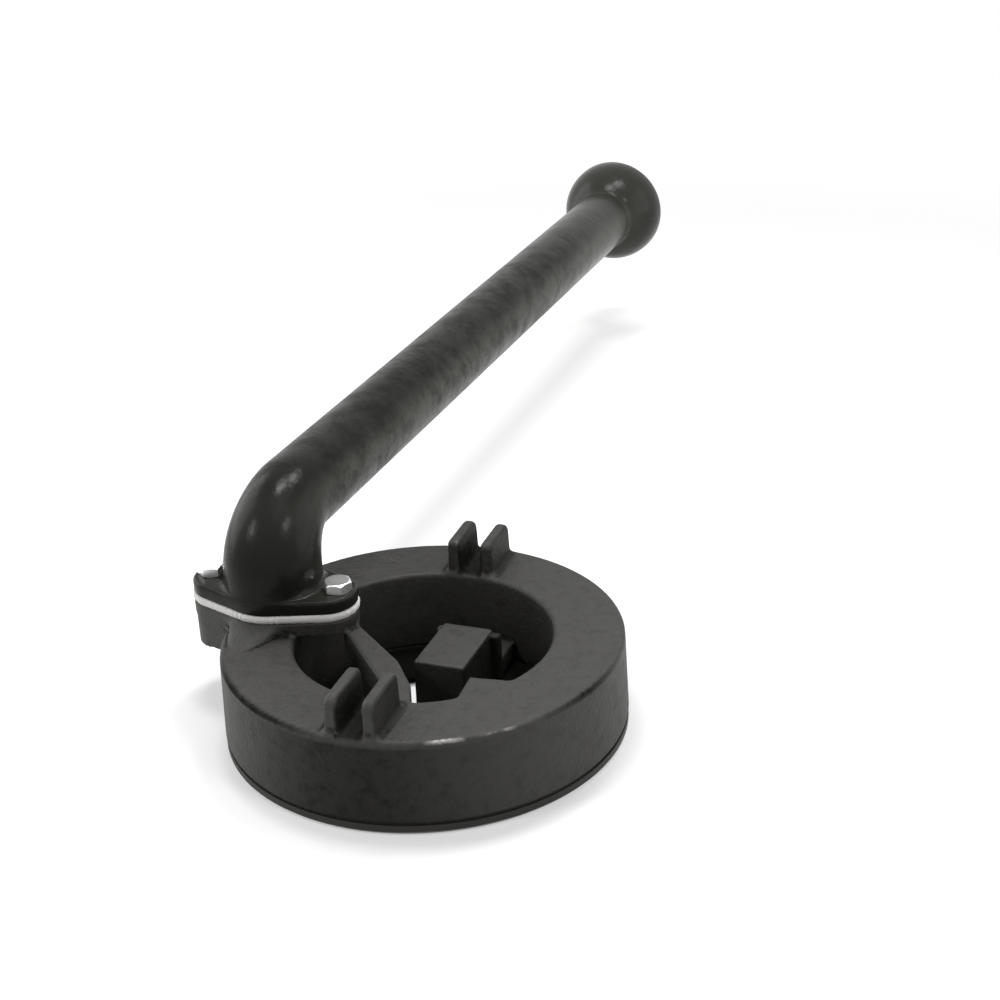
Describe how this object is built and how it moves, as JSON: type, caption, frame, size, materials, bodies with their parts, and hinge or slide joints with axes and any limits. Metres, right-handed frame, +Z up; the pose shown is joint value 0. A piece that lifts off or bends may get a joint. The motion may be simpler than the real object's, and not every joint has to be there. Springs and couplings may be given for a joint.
{
  "type": "ring gas burner",
  "caption": "Cast-iron ring gas burner, flame side down, with a bolted elbow mixing tube, a bell end with a turning air shutter and a brass gas inlet.",
  "frame": {"origin": "centre of the port plate's face, on the floor that the burner lies on flame side down", "axes": "+Z is up, away from the flame side; +Y runs level from the elbow along the mixing tube to its bell; +X points from the elbow's side across the ring"},
  "size_m": [0.2273, 0.7414, 0.1395],
  "materials": {
    "ring_iron": "matt black stove paint on sand-cast iron, bare where it is worn",
    "plate_iron": "sand-cast iron, machined on the flame side",
    "tube_black": "glossy black heat-resistant paint",
    "fibre_white": "white ceramic-fibre sheet",
    "fibre_grey": "grey fibre sheet",
    "zinc_steel": "bright zinc plate",
    "shutter_steel": "pressed sheet steel",
    "spring_steel": "bright spring steel",
    "brass": "turned brass",
    "copper": "soft copper"
  },
  "bodies": {
    "burner": {"ring_body": "ring_iron", "ring_stay": "ring_iron", "ring_pad": "ring_iron", "port_plate": "plate_iron", "outer_plate_gasket": "fibre_grey", "inner_plate_gasket": "fibre_grey", "plate_screws": "zinc_steel", "plate_dowels": "zinc_steel", "flange_gasket": "fibre_white", "elbow": "tube_black", "mixing_tube": "tube_black", "bell": "tube_black", "flange_bolts": "zinc_steel", "bell_plate": "tube_black", "bell_plate_screws": "zinc_steel", "shutter_stop_pin": "zinc_steel", "wave_washer": "spring_steel", "shutter_washer": "zinc_steel", "lock_nut": "brass", "injector_holder": "brass", "injector": "brass", "injector_washer": "copper"},
    "air_shutter": {"air_shutter": "shutter_steel"}
  },
  "joints": [
    {"name": "shutter_turn", "type": "hinge", "parent": "burner", "child": "air_shutter", "pos_m": [-0.0805, 0.5993, 0.1015], "axis": [0, 1, 0], "range_deg": [0, 45]}
  ]
}
